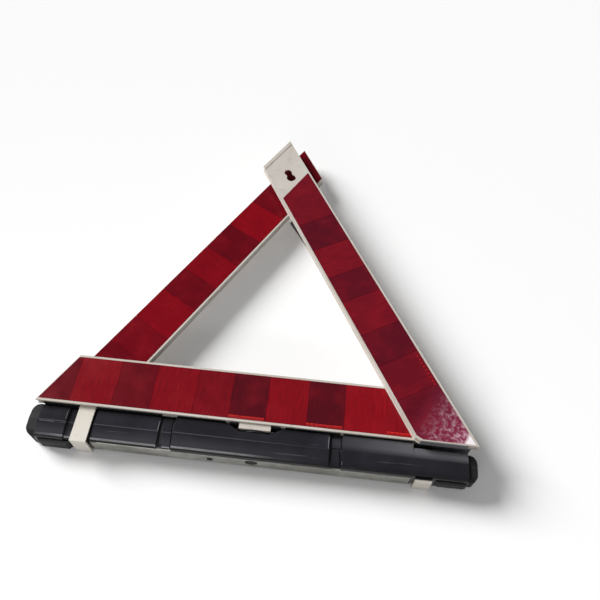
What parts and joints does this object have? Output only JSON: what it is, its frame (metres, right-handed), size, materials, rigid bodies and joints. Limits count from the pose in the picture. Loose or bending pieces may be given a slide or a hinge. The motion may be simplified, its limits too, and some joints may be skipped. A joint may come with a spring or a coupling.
{
  "type": "warning triangle",
  "caption": "Folding roadside warning triangle with red reflector arms in ivory frames and a swivelling black foot bar, open and lying on its back.",
  "frame": {"origin": "on the surface the triangle lies on, at the middle of the foot's flat back, under the foot's pivot axis", "axes": "+X along the base arm towards the end with the rear hook, +Y from the foot towards the apex, +Z the way the reflectors face (up while it lies on its back)"},
  "size_m": [0.4625, 0.4467, 0.0475],
  "materials": {
    "frame_plastic": "aged ivory moulded plastic, satin",
    "lens_plastic": "deep red moulded reflector plastic, glossy",
    "hook_plastic": "ivory, satin",
    "foot_plastic": "black moulded plastic, fine grain",
    "cap_plastic": "black moulded plastic",
    "strip_steel": "galvanised, dull",
    "bolt_steel": "zinc plated",
    "bolt_black": "blackened",
    "ballast_iron": "rough",
    "pad_rubber": "matt"
  },
  "bodies": {
    "base": {"base_frame": "frame_plastic", "turntable": "cap_plastic", "turntable_tab": "frame_plastic", "base_strip": "pad_rubber", "base_lens": "lens_plastic", "right_rivet": "bolt_steel", "front_hook": "hook_plastic", "rear_hook": "hook_plastic", "pivot_bolt": "bolt_black", "pivot_washer": "bolt_steel"},
    "left_arm": {"left_frame": "frame_plastic", "left_lens": "lens_plastic", "left_rivet": "bolt_steel", "locking_stud": "cap_plastic"},
    "right_arm": {"right_frame": "frame_plastic", "right_lens": "lens_plastic", "heel_strip": "pad_rubber"},
    "foot": {"front_shell": "foot_plastic", "rear_shell": "foot_plastic", "right_end": "foot_plastic", "left_cap": "cap_plastic", "right_cap": "cap_plastic", "pivot_block": "cap_plastic", "steel_strip": "strip_steel", "strip_screw": "cap_plastic", "left_ballast": "ballast_iron", "right_ballast": "ballast_iron", "left_pad": "pad_rubber", "right_pad": "pad_rubber", "shell_screws": "bolt_steel"}
  },
  "joints": [
    {"name": "right_arm_hinge", "type": "hinge", "parent": "base", "child": "right_arm", "pos_m": [0.17824, 0.0443, 0.037], "axis": [0, 0, 1], "range_deg": [0, 60]},
    {"name": "left_arm_hinge", "type": "hinge", "parent": "base", "child": "left_arm", "pos_m": [-0.17824, 0.0443, 0.0275], "axis": [0, 0, -1], "range_deg": [0, 60]},
    {"name": "foot_swivel", "type": "hinge", "parent": "base", "child": "foot", "pos_m": [0, 0.0167, 0.017], "axis": [0, -1, 0], "range_deg": [0, 90]}
  ]
}
